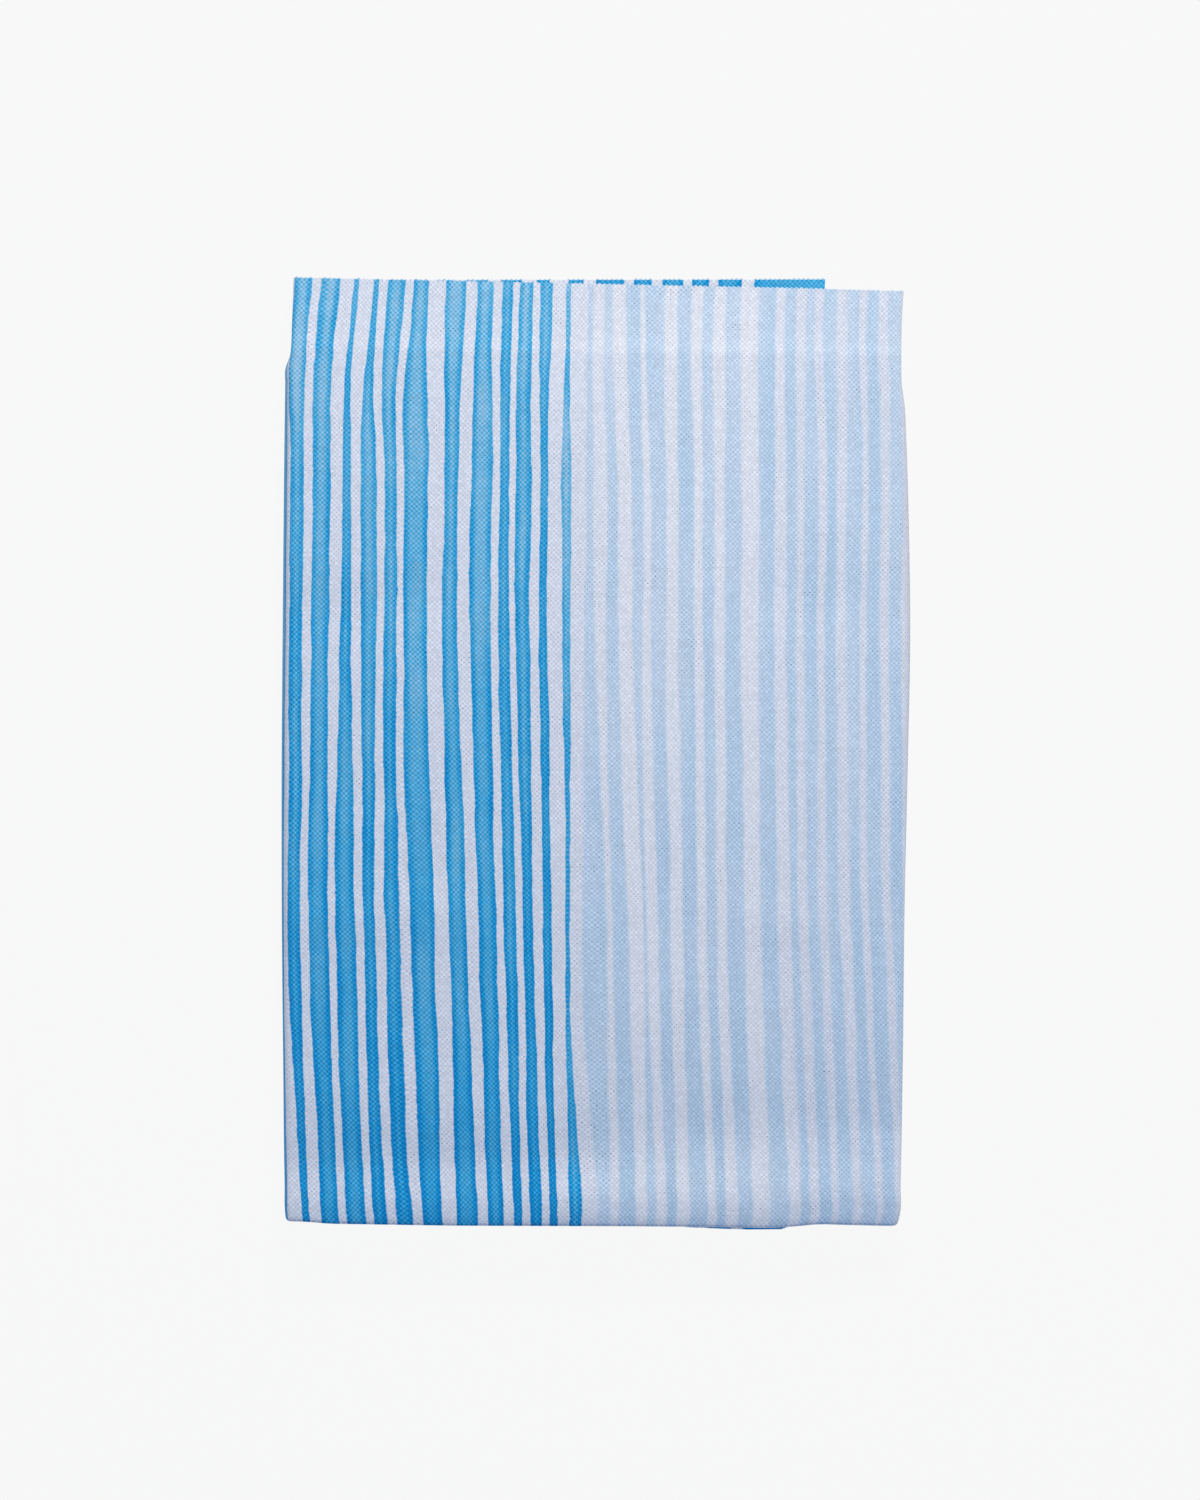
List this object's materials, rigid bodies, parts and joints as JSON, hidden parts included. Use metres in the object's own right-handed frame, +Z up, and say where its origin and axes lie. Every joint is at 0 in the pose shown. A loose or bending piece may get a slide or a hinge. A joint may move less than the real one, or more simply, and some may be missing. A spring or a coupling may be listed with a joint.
{
  "type": "folded tenugui towel",
  "caption": "Thin woven cotton hand towel with selvedges and raw cut ends, folded in half lengthwise and then back and forth into a flat pack, with uneven blue and white stripes.",
  "frame": {"origin": "centre of the folded pack's box, on the surface that it lies on", "axes": "+Y along the pack, from the lengthwise fold at its foot to the selvedges at its head; +X across it, from the nested folds to the side where both cut ends stop short; +Z up, through the thickness"},
  "size_m": [0.117, 0.1772, 0.0105],
  "materials": {
    "cotton": "matt plain-woven cotton sheeting, dyed through in blue and pale blue stripes on a white ground"
  },
  "bodies": {
    "root": {"cloth": "cotton"}
  },
  "joints": []
}
